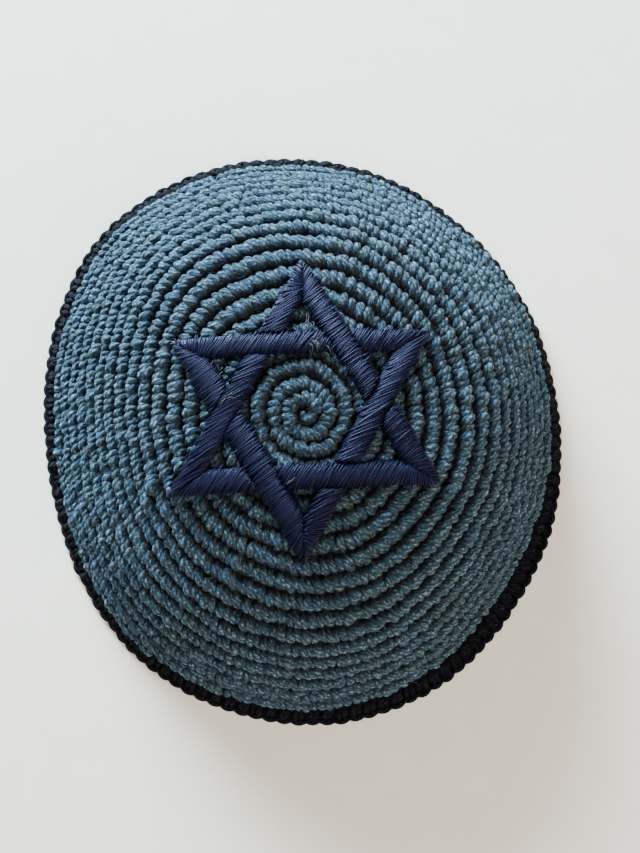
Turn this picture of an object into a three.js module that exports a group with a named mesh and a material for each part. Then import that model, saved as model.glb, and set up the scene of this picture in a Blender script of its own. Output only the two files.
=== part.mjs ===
// Crocheted skullcap with an embroidered six-pointed star, standing on its brim.
// Millimetres, +Z up, floor at z = 0, +Y towards the upper point of the star.
import * as THREE from "three";

// Driving sizes
const HALF_LENGTH = 89.3; // reach that the brim and star tables are shares of
const CAP_HEIGHT = 51.5; // floor to the crest of the highest round
const WALL = 3.5; // thickness of the crocheted wall
const ROUNDS = 19; // rounds of the spiral from the centre to the edge round
const ROUND_RELIEF = 1.2; // depth of the groove between two rounds
const CENTRE_DIP = 1.0; // depth of the small hole where the spiral starts
const EDGE_WIDTH = 5.5; // width of the closing edge round
const EDGE_WALL = 3.6; // thickness of the closing edge round
const EDGE_LEAST_HEIGHT = 3.0; // height of the edge round where it lies spread out
const BAND_THICKNESS = 1.3; // height of a satin band over the rounds
const BAND_SIDE = 0.5; // height of a satin band at its two long sides
const PART_GAP = 0.3; // clearance between neighbouring pieces

// Mesh fineness
const SEGMENTS = 60;
const INNER_ROWS = 10;
const BAND_ROWS = 15;
const TIP_ROWS = 5;
const BAND_COLUMNS = 4;

// Brim outline: turn in degrees from +X, reach as a share of HALF_LENGTH,
// spread as the share of EDGE_WIDTH by which the edge round lies outwards.
const BRIM = [
  { turn: 0, reach: 0.895, spread: 0.5 },
  { turn: 15, reach: 0.897, spread: 0.4 },
  { turn: 30, reach: 0.914, spread: 0.25 },
  { turn: 45, reach: 0.932, spread: 0.2 },
  { turn: 60, reach: 0.952, spread: 0.2 },
  { turn: 75, reach: 0.981, spread: 0.25 },
  { turn: 90, reach: 1.0, spread: 0.3 },
  { turn: 105, reach: 1.024, spread: 0.4 },
  { turn: 120, reach: 1.036, spread: 0.5 },
  { turn: 135, reach: 1.034, spread: 0.52 },
  { turn: 150, reach: 0.992, spread: 0.55 },
  { turn: 165, reach: 0.948, spread: 0.58 },
  { turn: 180, reach: 0.914, spread: 0.6 },
  { turn: 195, reach: 0.906, spread: 0.6 },
  { turn: 210, reach: 0.92, spread: 0.58 },
  { turn: 225, reach: 0.944, spread: 0.58 },
  { turn: 240, reach: 0.968, spread: 0.6 },
  { turn: 255, reach: 0.98, spread: 0.62 },
  { turn: 270, reach: 0.99, spread: 0.65 },
  { turn: 285, reach: 0.988, spread: 0.72 },
  { turn: 300, reach: 0.971, spread: 0.85 },
  { turn: 315, reach: 0.94, spread: 0.98 },
  { turn: 330, reach: 0.92, spread: 0.95 },
  { turn: 345, reach: 0.908, spread: 0.72 },
];

// Dome section towards the right, back, left and front of the cap. Each row is one
// tenth of the way from the centre to the edge round. Reaches are shares of the
// crown's own reach in that direction, drops are shares of the crown's height.
const SECTION = [
  { rightReach: 0, backReach: 0, leftReach: 0, frontReach: 0, sideDrop: 0, leftDrop: 0, frontDrop: 0 },
  {
    rightReach: 0.103, backReach: 0.108, leftReach: 0.115, frontReach: 0.113,
    sideDrop: 0.008, leftDrop: 0.01, frontDrop: 0.01,
  },
  {
    rightReach: 0.219, backReach: 0.219, leftReach: 0.229, frontReach: 0.223,
    sideDrop: 0.028, leftDrop: 0.035, frontDrop: 0.032,
  },
  {
    rightReach: 0.347, backReach: 0.338, leftReach: 0.344, frontReach: 0.335,
    sideDrop: 0.058, leftDrop: 0.075, frontDrop: 0.07,
  },
  {
    rightReach: 0.48, backReach: 0.466, leftReach: 0.459, frontReach: 0.455,
    sideDrop: 0.1, leftDrop: 0.13, frontDrop: 0.12,
  },
  {
    rightReach: 0.606, backReach: 0.591, leftReach: 0.57, frontReach: 0.573,
    sideDrop: 0.165, leftDrop: 0.22, frontDrop: 0.19,
  },
  {
    rightReach: 0.714, backReach: 0.698, leftReach: 0.671, frontReach: 0.682,
    sideDrop: 0.29, leftDrop: 0.36, frontDrop: 0.31,
  },
  {
    rightReach: 0.803, backReach: 0.785, leftReach: 0.762, frontReach: 0.778,
    sideDrop: 0.455, leftDrop: 0.52, frontDrop: 0.46,
  },
  {
    rightReach: 0.875, backReach: 0.858, leftReach: 0.844, frontReach: 0.862,
    sideDrop: 0.635, leftDrop: 0.68, frontDrop: 0.63,
  },
  {
    rightReach: 0.935, backReach: 0.927, leftReach: 0.922, frontReach: 0.934,
    sideDrop: 0.815, leftDrop: 0.84, frontDrop: 0.81,
  },
  { rightReach: 1, backReach: 1, leftReach: 1, frontReach: 1, sideDrop: 1, leftDrop: 1, frontDrop: 1 },
];

// Soft dents and creases of the cloth. Places, lengths and widths are shares of
// HALF_LENGTH, heading is the turn of the long way, lift is a share of WALL.
const DENTS = [
  { name: "hollow beyond the star", x: 0.4, y: 0.24, heading: 305, length: 0.2, width: 0.08, lift: -0.42 },
  { name: "fold below the left point", x: -0.28, y: -0.45, heading: 330, length: 0.17, width: 0.06, lift: -0.35 },
  { name: "crease on the left shoulder", x: -0.62, y: -0.4, heading: 300, length: 0.2, width: 0.06, lift: 0.4 },
  { name: "valley inside the crease", x: -0.53, y: -0.36, heading: 300, length: 0.18, width: 0.05, lift: -0.3 },
  { name: "soft swell at the front", x: 0.1, y: -0.72, heading: 0, length: 0.3, width: 0.09, lift: 0.3 },
  { name: "soft hollow at the back", x: -0.25, y: 0.72, heading: 20, length: 0.22, width: 0.08, lift: -0.25 },
];

// Outer corners of the star in plan, shares of HALF_LENGTH, in order around it.
const STAR_POINTS = {
  back: { x: -0.012, y: 0.498 },
  backRight: { x: 0.396, y: 0.27 },
  frontRight: { x: 0.422, y: -0.215 },
  front: { x: -0.004, y: -0.47 },
  frontLeft: { x: -0.426, y: -0.255 },
  backLeft: { x: -0.426, y: 0.235 },
};

// Each band runs from one corner to the next but one. It passes over the first band
// that it meets and stops on both sides of the second. Widths are shares of HALF_LENGTH.
const STAR_BANDS = [
  { number: 1, from: "backLeft", to: "backRight", under: 2, width: 0.065 },
  { number: 2, from: "back", to: "frontRight", under: 3, width: 0.069 },
  { number: 3, from: "backRight", to: "front", under: 4, width: 0.071 },
  { number: 4, from: "frontRight", to: "frontLeft", under: 5, width: 0.074 },
  { number: 5, from: "front", to: "backLeft", under: 6, width: 0.076 },
  { number: 6, from: "frontLeft", to: "back", under: 1, width: 0.066 },
];

const RADIAN = Math.PI / 180;

// Smooth closed curve through the rows of the brim table.
function brimValue(column, turn) {
  const step = 360 / BRIM.length;
  const place = (((turn % 360) + 360) % 360) / step;
  const row = Math.floor(place);
  const share = place - row;
  const at = (index) => BRIM[(index + BRIM.length) % BRIM.length][column];
  const [a, b, c, d] = [at(row - 1), at(row), at(row + 1), at(row + 2)];
  const slopeB = (c - a) / 2;
  const slopeC = (d - b) / 2;
  const s2 = share * share;
  const s3 = s2 * share;
  return (
    (2 * s3 - 3 * s2 + 1) * b + (s3 - 2 * s2 + share) * slopeB +
    (3 * s2 - 2 * s3) * c + (s3 - s2) * slopeC
  );
}

// Smooth curve down one column of the section table.
function sectionValue(column, along) {
  const last = SECTION.length - 1;
  const place = Math.min(Math.max(along, 0), 1) * last;
  const row = Math.min(Math.floor(place), last - 1);
  const share = place - row;
  const at = (index) => {
    if (index < 0) return 2 * SECTION[0][column] - SECTION[1][column];
    if (index > last) return 2 * SECTION[last][column] - SECTION[last - 1][column];
    return SECTION[index][column];
  };
  const [a, b, c, d] = [at(row - 1), at(row), at(row + 1), at(row + 2)];
  const flatTop = row === 0 && column.endsWith("Drop");
  const slopeB = flatTop ? 0 : (c - a) / 2;
  const slopeC = (d - b) / 2;
  const s2 = share * share;
  const s3 = s2 * share;
  return (
    (2 * s3 - 3 * s2 + 1) * b + (s3 - 2 * s2 + share) * slopeB +
    (3 * s2 - 2 * s3) * c + (s3 - s2) * slopeC
  );
}

// Height and outward reach of the edge round's top at one turn.
function edgeTop(turn) {
  const spread = brimValue("spread", turn) * EDGE_WIDTH;
  const height = Math.sqrt(Math.max(EDGE_WIDTH ** 2 - spread ** 2, 0));
  return {
    outer: brimValue("reach", turn) * HALF_LENGTH,
    reach: brimValue("reach", turn) * HALF_LENGTH - spread,
    height: Math.max(height, EDGE_LEAST_HEIGHT),
  };
}

// Lift of the cloth by its dents and creases at one place in plan.
function dentLift(x, y) {
  let lift = 0;
  for (const dent of DENTS) {
    const dx = x / HALF_LENGTH - dent.x;
    const dy = y / HALF_LENGTH - dent.y;
    const cos = Math.cos(dent.heading * RADIAN);
    const sin = Math.sin(dent.heading * RADIAN);
    const lengthwise = (dx * cos + dy * sin) / dent.length;
    const across = (dy * cos - dx * sin) / dent.width;
    lift += dent.lift * WALL * Math.exp(-(lengthwise ** 2 + across ** 2));
  }
  return lift;
}

// Smooth crest level of the crown before dents, at a share of the way down and a turn.
function smoothPoint(along, turn) {
  const cos = Math.cos(turn * RADIAN);
  const sin = Math.sin(turn * RADIAN);
  const rightShare = Math.max(cos, 0) ** 2;
  const leftShare = Math.max(-cos, 0) ** 2;
  const backShare = Math.max(sin, 0) ** 2;
  const frontShare = Math.max(-sin, 0) ** 2;
  const edge = edgeTop(turn);
  const reach =
    rightShare * sectionValue("rightReach", along) + leftShare * sectionValue("leftReach", along) +
    backShare * sectionValue("backReach", along) + frontShare * sectionValue("frontReach", along);
  const drop =
    (rightShare + backShare) * sectionValue("sideDrop", along) +
    leftShare * sectionValue("leftDrop", along) + frontShare * sectionValue("frontDrop", along);
  const bottom = edge.height + PART_GAP;
  return new THREE.Vector3(
    reach * edge.reach * cos,
    reach * edge.reach * sin,
    CAP_HEIGHT - drop * (CAP_HEIGHT - bottom),
  );
}

// Outward direction of the smooth crown.
function smoothNormal(along, turn) {
  const small = 0.004;
  if (along < small) return new THREE.Vector3(0, 0, 1);
  const down = smoothPoint(Math.min(along + small, 1), turn).sub(smoothPoint(along - small, turn));
  const around = smoothPoint(along, turn + 1).sub(smoothPoint(along, turn - 1));
  return down.cross(around).normalize();
}

// Point of the crown at a height over its crest level, negative into the cloth.
function crownPoint(along, turn, over) {
  const point = smoothPoint(along, turn);
  const fade = Math.min(1, (1 - along) / 0.08);
  const lift = dentLift(point.x, point.y) * Math.max(fade, 0);
  return point.addScaledVector(smoothNormal(along, turn), over + lift);
}

// Share of the way down at which the smooth crown has a given reach in plan.
function alongAt(radius, turn) {
  let low = 0;
  let high = 1;
  for (let step = 0; step < 40; step += 1) {
    const middle = (low + high) / 2;
    const point = smoothPoint(middle, turn);
    if (Math.hypot(point.x, point.y) < radius) low = middle;
    else high = middle;
  }
  return (low + high) / 2;
}

// Point over the crown's crest level above a place in plan.
function overPlan(x, y, over) {
  const turn = Math.atan2(y, x) / RADIAN;
  return crownPoint(alongAt(Math.hypot(x, y), turn), turn, over);
}

// Mesh from shared points and triangles.
function solid(name, points, triangles, material) {
  const geometry = new THREE.BufferGeometry();
  const places = new Float32Array(points.length * 3);
  points.forEach((point, index) => {
    places.set([point.x - CENTRE.x, point.y - CENTRE.y, point.z], index * 3);
  });
  geometry.setAttribute("position", new THREE.BufferAttribute(places, 3));
  geometry.setIndex(triangles.flat());
  geometry.computeVertexNormals();
  const mesh = new THREE.Mesh(geometry, material);
  mesh.name = name;
  return mesh;
}

// The two triangles of a four-cornered field, corners counter-clockwise from outside.
function field(a, b, c, d) {
  return [[a, b, c], [a, c, d]];
}

// Middle of the brim in plan, so that the part stands centred on its origin.
function brimCentre() {
  const box = new THREE.Box2();
  for (let segment = 0; segment < SEGMENTS; segment += 1) {
    const turn = (360 * segment) / SEGMENTS;
    const outer = edgeTop(turn).outer;
    box.expandByPoint(new THREE.Vector2(outer * Math.cos(turn * RADIAN), outer * Math.sin(turn * RADIAN)));
  }
  return box.getCenter(new THREE.Vector2());
}

const CENTRE = brimCentre();

// The hollow dome. Its rounds run as one spiral, a groove line and a crest line a turn.
function crownSolid(material) {
  const points = [];
  const triangles = [];
  const add = (point) => points.push(point) - 1;
  const turnOf = (step) => (360 * (step % SEGMENTS)) / SEGMENTS;
  const rounds = Math.max(Math.round(ROUNDS), 2);
  const total = rounds * SEGMENTS;
  const lastTurn = total - SEGMENTS;

  // Level ring on which the crown meets the edge round, outside and inside.
  const ring = [];
  const innerRing = [];
  for (let segment = 0; segment <= SEGMENTS; segment += 1) {
    if (segment === SEGMENTS) {
      ring.push(ring[0]);
      innerRing.push(innerRing[0]);
      continue;
    }
    const turn = turnOf(segment);
    const outer = crownPoint(1, turn, 0);
    const normal = smoothNormal(1, turn);
    const reach = Math.hypot(outer.x, outer.y);
    const share = (reach - WALL / Math.hypot(normal.x, normal.y)) / reach;
    ring.push(add(outer));
    innerRing.push(add(new THREE.Vector3(outer.x * share, outer.y * share, outer.z)));
  }

  const groove = [add(crownPoint(0, 0, -CENTRE_DIP))];
  for (let step = 1; step < total; step += 1) {
    const done = step / SEGMENTS;
    const depth = ROUND_RELIEF * Math.min(1, 2 * (rounds - done));
    groove.push(add(crownPoint(done / rounds, turnOf(step), -depth)));
  }
  groove.push(ring[0]);
  const crest = [];
  for (let step = 0; step <= lastTurn; step += 1) {
    crest.push(add(crownPoint((step / SEGMENTS + 0.5) / rounds, turnOf(step), 0)));
  }
  const taper = [crest[lastTurn]];
  for (let segment = 1; segment < SEGMENTS; segment += 1) {
    const done = (lastTurn + segment) / SEGMENTS;
    taper.push(add(crownPoint((done + rounds) / 2 / rounds, turnOf(segment), 0)));
  }

  // First turn closes on the centre, the others lie between their neighbours.
  for (let step = 1; step < SEGMENTS - 1; step += 1) {
    triangles.push([groove[0], groove[step], groove[step + 1]]);
  }
  triangles.push([groove[0], groove[SEGMENTS - 1], crest[0]]);
  triangles.push([crest[0], groove[SEGMENTS - 1], groove[SEGMENTS]]);
  triangles.push([groove[0], crest[0], crest[1]]);
  triangles.push([groove[0], crest[1], groove[1]]);
  for (let step = 0; step < lastTurn; step += 1) {
    const next = step + SEGMENTS;
    if (step > 0) {
      triangles.push(...field(groove[step], crest[step], crest[step + 1], groove[step + 1]));
    }
    triangles.push(...field(crest[step], groove[next], groove[next + 1], crest[step + 1]));
  }

  // The last turn tapers out against the level ring.
  for (let segment = 0; segment < SEGMENTS - 1; segment += 1) {
    const step = lastTurn + segment;
    triangles.push(...field(groove[step], taper[segment], taper[segment + 1], groove[step + 1]));
    triangles.push(...field(taper[segment], ring[segment], ring[segment + 1], taper[segment + 1]));
  }
  triangles.push([groove[total - 1], taper[SEGMENTS - 1], ring[0]]);
  triangles.push([taper[SEGMENTS - 1], ring[SEGMENTS - 1], ring[0]]);

  // Brim face, then the hollow from the brim up to its highest point.
  for (let segment = 0; segment < SEGMENTS; segment += 1) {
    triangles.push(
      ...field(ring[segment], innerRing[segment], innerRing[segment + 1], ring[segment + 1]),
    );
  }
  let below = innerRing;
  for (let row = 1; row <= INNER_ROWS; row += 1) {
    const along = 0.96 * (1 - row / (INNER_ROWS + 1));
    const above = [];
    for (let segment = 0; segment < SEGMENTS; segment += 1) {
      above.push(add(crownPoint(along, turnOf(segment), -WALL)));
    }
    above.push(above[0]);
    for (let segment = 0; segment < SEGMENTS; segment += 1) {
      triangles.push(...field(below[segment], above[segment], above[segment + 1], below[segment + 1]));
    }
    below = above;
  }
  const innerPole = add(crownPoint(0, 0, -WALL));
  for (let segment = 0; segment < SEGMENTS; segment += 1) {
    triangles.push([below[segment], innerPole, below[segment + 1]]);
  }
  return solid("crown", points, triangles, material);
}

// Section of the edge round at one turn, as reach and height, from the inside of its
// flat foot outwards, up the outside and back down the inside.
function edgeSection(turn) {
  const edge = edgeTop(turn);
  const lean = edge.outer - edge.reach;
  const across = EDGE_WALL / Math.sin(Math.atan2(edge.height, lean));
  const outside = (share) => edge.outer - lean * share;
  return [
    [outside(0) - across + 0.2, 0],
    [outside(0) - 0.9, 0],
    [outside(0), 0.22 * edge.height],
    [outside(0.6) + 0.3, 0.6 * edge.height],
    [outside(1), edge.height],
    [outside(1) - across, edge.height],
    [outside(0.5) - across - 0.3, 0.5 * edge.height],
    [outside(0.2) - across - 0.2, 0.2 * edge.height],
  ];
}

// The dark closing round, a ring with a flat foot.
function edgeSolid(material) {
  const points = [];
  const triangles = [];
  const sides = edgeSection(0).length;
  for (let segment = 0; segment < SEGMENTS; segment += 1) {
    const turn = (360 * segment) / SEGMENTS;
    for (const [reach, height] of edgeSection(turn)) {
      points.push(new THREE.Vector3(reach * Math.cos(turn * RADIAN), reach * Math.sin(turn * RADIAN), height));
    }
  }
  for (let segment = 0; segment < SEGMENTS; segment += 1) {
    const here = segment * sides;
    const next = ((segment + 1) % SEGMENTS) * sides;
    for (let side = 0; side < sides; side += 1) {
      const up = (side + 1) % sides;
      triangles.push(...field(here + side, next + side, next + up, here + up));
    }
  }
  return solid("edge_round", points, triangles, material);
}

// Where two lines in plan meet, each given by a point and a direction.
function meeting(first, second) {
  const [p, d] = first;
  const [q, e] = second;
  const share = ((q.x - p.x) * e.y - (q.y - p.y) * e.x) / (d.x * e.y - d.y * e.x);
  return new THREE.Vector2(p.x + d.x * share, p.y + d.y * share);
}

// Outer and inner edge lines of one band, moved apart by a clearance.
function bandLines(band, clearance) {
  const from = STAR_POINTS[band.from];
  const to = STAR_POINTS[band.to];
  const start = new THREE.Vector2(from.x, from.y).multiplyScalar(HALF_LENGTH);
  const end = new THREE.Vector2(to.x, to.y).multiplyScalar(HALF_LENGTH);
  const way = end.clone().sub(start).normalize();
  const inwards = new THREE.Vector2(way.y, -way.x);
  const shifted = (distance) => [start.clone().addScaledVector(inwards, distance), way];
  return {
    start,
    end,
    way,
    outer: shifted(-clearance),
    inner: shifted(band.width * HALF_LENGTH + clearance),
  };
}

// Slanted line on which two bands meet at a corner, moved to one side by half the gap.
function cornerLine(corner, wayIn, wayOut, towards) {
  const middle = wayOut.clone().sub(wayIn).normalize();
  const side = new THREE.Vector2(-middle.y, middle.x);
  const sign = Math.sign(side.dot(towards));
  return [corner.clone().addScaledVector(side, (sign * PART_GAP) / 2), middle];
}

// A low rounded pad over the crown between an outer and an inner edge in plan.
function pad(name, corners, rows, material) {
  const [outerStart, outerEnd, innerEnd, innerStart] = corners;
  const points = [];
  const triangles = [];
  const at = (layer, row, column) => (layer * (rows + 1) + row) * (BAND_COLUMNS + 1) + column;
  for (const layer of [0, 1]) {
    for (let row = 0; row <= rows; row += 1) {
      const outer = outerStart.clone().lerp(outerEnd, row / rows);
      const inner = innerStart.clone().lerp(innerEnd, row / rows);
      for (let column = 0; column <= BAND_COLUMNS; column += 1) {
        const across = column / BAND_COLUMNS;
        const place = outer.clone().lerp(inner, across);
        const round = 1 - (2 * across - 1) ** 2;
        const height = BAND_SIDE + (BAND_THICKNESS - BAND_SIDE) * Math.sqrt(round);
        points.push(overPlan(place.x, place.y, PART_GAP + layer * height));
      }
    }
  }
  for (let row = 0; row < rows; row += 1) {
    for (let column = 0; column < BAND_COLUMNS; column += 1) {
      triangles.push(
        ...field(at(1, row, column), at(1, row + 1, column), at(1, row + 1, column + 1), at(1, row, column + 1))
          .map((corner) => corner.reverse()),
      );
      triangles.push(
        ...field(at(0, row, column), at(0, row + 1, column), at(0, row + 1, column + 1), at(0, row, column + 1)),
      );
    }
    const last = BAND_COLUMNS;
    triangles.push(...field(at(0, row, 0), at(1, row, 0), at(1, row + 1, 0), at(0, row + 1, 0)));
    triangles.push(...field(at(0, row + 1, last), at(1, row + 1, last), at(1, row, last), at(0, row, last)));
  }
  for (let column = 0; column < BAND_COLUMNS; column += 1) {
    const next = column + 1;
    triangles.push(...field(at(0, 0, next), at(1, 0, next), at(1, 0, column), at(0, 0, column)));
    triangles.push(...field(at(0, rows, column), at(1, rows, column), at(1, rows, next), at(0, rows, next)));
  }
  return solid(name, points, triangles, material);
}

// The two pads of one band: the long one up to the band that it passes under, and
// the short one from there to the far corner of the star.
function bandSolids(band, material) {
  const own = bandLines(band, 0);
  const before = bandLines(STAR_BANDS.find((other) => other.to === band.from), 0);
  const after = bandLines(STAR_BANDS.find((other) => other.from === band.to), 0);
  const crossing = bandLines(STAR_BANDS.find((other) => other.number === band.under), PART_GAP);
  const startLine = cornerLine(own.start, before.way, own.way, own.way);
  const endLine = cornerLine(own.end, own.way, after.way, own.way.clone().negate());
  const corners = (first, second) => [
    meeting(own.outer, first),
    meeting(own.outer, second),
    meeting(own.inner, second),
    meeting(own.inner, first),
  ];
  return [
    pad(`star_band_${band.number}`, corners(startLine, crossing.inner), BAND_ROWS, material),
    pad(`star_tip_${band.number}`, corners(crossing.outer, endLine), TIP_ROWS, material),
  ];
}

const yarn = new THREE.MeshStandardMaterial({ color: 0x5d7681, roughness: 0.9, metalness: 0 });
const edgeYarn = new THREE.MeshStandardMaterial({ color: 0x232633, roughness: 0.92, metalness: 0 });
const starThread = new THREE.MeshStandardMaterial({ color: 0x343b6b, roughness: 0.5, metalness: 0 });

const cap = new THREE.Group();
cap.name = "kippah_skullcap";
cap.add(crownSolid(yarn));
cap.add(edgeSolid(edgeYarn));
for (const band of STAR_BANDS) {
  cap.add(...bandSolids(band, starThread));
}

export default cap;
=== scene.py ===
"""Crocheted skullcap with an embroidered six-pointed star, dressed on its solid model.

The cap is worked in one spiral of thick heather yarn, closed by one dark round, and six
satin bands are sewn on the crown. Lengths are in millimetres unless a name says otherwise,
and every place is measured from the frame's solids.
"""

import logging
import math
from dataclasses import dataclass, field
from enum import Enum

import bpy
import numpy as np
from mathutils import Matrix, Vector
from mathutils.bvhtree import BVHTree

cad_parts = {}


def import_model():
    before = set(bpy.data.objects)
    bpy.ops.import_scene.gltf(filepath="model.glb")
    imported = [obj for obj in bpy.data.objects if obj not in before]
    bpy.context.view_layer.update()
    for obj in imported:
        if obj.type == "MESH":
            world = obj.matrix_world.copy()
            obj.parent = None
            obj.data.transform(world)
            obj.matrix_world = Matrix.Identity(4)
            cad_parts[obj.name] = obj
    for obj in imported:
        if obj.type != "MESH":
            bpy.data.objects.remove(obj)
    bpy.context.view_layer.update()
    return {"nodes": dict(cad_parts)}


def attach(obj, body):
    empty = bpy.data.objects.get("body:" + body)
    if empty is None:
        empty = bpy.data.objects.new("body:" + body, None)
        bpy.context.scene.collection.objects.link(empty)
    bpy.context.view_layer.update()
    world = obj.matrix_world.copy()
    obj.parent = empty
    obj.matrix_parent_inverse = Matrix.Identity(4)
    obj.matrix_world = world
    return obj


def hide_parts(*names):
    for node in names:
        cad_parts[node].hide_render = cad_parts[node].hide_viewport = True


LOG = logging.getLogger("skullcap")
MM = 0.001
FULL_TURN = 2 * math.pi
# Distance from which rays start, outside every solid.
FAR = 200.0
Array = np.ndarray
Numbers = np.ndarray | float
Colour = tuple[float, float, float, float]


class Side(Enum):
    """Side of the crocheted wall that a layer of yarn is seen from."""

    OUTSIDE = "outside"
    INSIDE = "inside"


# Shared helpers


def put(name: str, data: bpy.types.ID) -> bpy.types.Object:
    """Add an object with this data to the scene and return it."""
    made = bpy.data.objects.new(name, data)
    bpy.context.scene.collection.objects.link(made)
    return made


def mark(mesh: bpy.types.Mesh, label: str, values: Array) -> None:
    """Store one named number a point on a mesh."""
    store = mesh.attributes.new(label, "FLOAT", "POINT")
    store.data.foreach_set("value", values.astype(np.float32))


def lengths(line: Array) -> Array:
    """Return the length along a line up to each of its points."""
    return np.concatenate([[0.0], np.cumsum(np.linalg.norm(np.diff(line, axis=0), axis=1))])


def resample(line: Array, wanted: Array) -> Array:
    """Return the places at the wanted lengths along a plane line."""
    return np.column_stack([np.interp(wanted, lengths(line), line[:, axis]) for axis in (0, 1)])


# Finishes


class NodeSheet:
    """A node tree with short calls for adding and joining nodes."""

    def __init__(self, tree: bpy.types.NodeTree, prefix: str) -> None:
        """Take over an empty tree.

        Args:
            tree: Shader or geometry tree to fill.
            prefix: Start of the names of its kind of nodes.
        """
        self.tree = tree
        self.prefix = prefix

    def node(self, kind: str, inputs: dict | None = None, **settings: object) -> bpy.types.Node:
        """Add a node.

        Args:
            kind: Name of the node type without its prefix.
            inputs: Values or sockets to put on its inputs, by name or number.
            **settings: Properties of the node.

        Returns:
            The new node.
        """
        made = self.tree.nodes.new(self.prefix + kind)
        for key, value in settings.items():
            setattr(made, key, value)
        return self.fill(made, inputs or {})

    def fill(self, made: bpy.types.Node, inputs: dict) -> bpy.types.Node:
        """Put values or sockets on a node's inputs.

        Args:
            made: Node to fill.
            inputs: Values or sockets by the name or number of the input.

        Returns:
            The same node.
        """
        for key, value in inputs.items():
            if isinstance(value, bpy.types.NodeSocket):
                self.tree.links.new(value, made.inputs[key])
            else:
                made.inputs[key].default_value = value
        return made

    def math(self, operation: str, first: object, second: object = 0.0, third: object = 0.0) -> object:
        """Combine numbers.

        Args:
            operation: Name of the operation.
            first: Number or socket.
            second: Number or socket.
            third: Number or socket.

        Returns:
            The socket with the result.
        """
        made = self.tree.nodes.new("ShaderNodeMath")
        made.operation = operation
        return self.fill(made, dict(enumerate((first, second, third)))).outputs[0]


class MaterialSheet(NodeSheet):
    """The node tree of one material."""

    def __init__(self, name: str) -> None:
        """Start an empty material.

        Args:
            name: Name of the material.
        """
        self.material = bpy.data.materials.new(name)
        self.material.use_nodes = True
        self.material.node_tree.nodes.clear()
        super().__init__(self.material.node_tree, "ShaderNode")

    def attribute(self, name: str, output: str = "Fac") -> bpy.types.NodeSocket:
        """Read a named attribute of the mesh as a number, colour or vector."""
        return self.node("Attribute", attribute_name=name).outputs[output]

    def mix(self, share: object, first: object, second: object, mode: str = "MIX") -> bpy.types.NodeSocket:
        """Mix two colours.

        Args:
            share: Share of the second colour, a number or a socket.
            first: Colour or socket.
            second: Colour or socket.
            mode: Name of the blend mode.

        Returns:
            The socket with the mixed colour.
        """
        inputs = {0: share, 6: first, 7: second}
        return self.node("Mix", inputs, data_type="RGBA", blend_type=mode).outputs[2]

    def noise(self, scale: float, detail: float = 2.0, vector: object | None = None) -> object:
        """Noise between 0 and 1 over the object's own coordinates, scale in cycles a metre."""
        place = vector if vector is not None else self.node("TexCoord").outputs["Object"]
        return self.node("TexNoise", {"Vector": place, "Scale": scale, "Detail": detail}).outputs["Fac"]

    def band(self, value: object, low: float, high: float) -> bpy.types.NodeSocket:
        """Stretch a number so that low becomes 0 and high becomes 1, held within both."""
        inputs = {"Value": value, "From Min": low, "From Max": high}
        return self.node("MapRange", inputs, interpolation_type="SMOOTHSTEP").outputs[0]

    def plies(self, count: float, turns: float, stir: float = 0.0) -> bpy.types.Node:
        """Lay the shared ply pattern on the strands.

        Args:
            count: Plies in a strand.
            turns: Twist in radians a millimetre.
            stir: How unevenly the plies lie.

        Returns:
            The group node, with the outputs Ply and Strand.
        """
        inputs = {"Plies": count, "Turns": turns, "Stir": stir}
        inputs |= {"Ring": self.attribute("ring", "Vector"), "Run": self.attribute("run")}
        return self.node("Group", inputs, node_tree=ply_group())

    def close(self, inputs: dict, relief: dict | None = None) -> bpy.types.Material:
        """Join one surface shader to the output.

        Args:
            inputs: Values or sockets for the shader's inputs, by name.
            relief: Values or sockets for a bump's inputs, or None for a flat surface.

        Returns:
            The finished material.
        """
        if relief:
            inputs = {**inputs, "Normal": self.node("Bump", relief).outputs[0]}
        shader = self.node("BsdfPrincipled", inputs)
        self.node("OutputMaterial", {"Surface": shader.outputs[0]})
        return self.material


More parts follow.
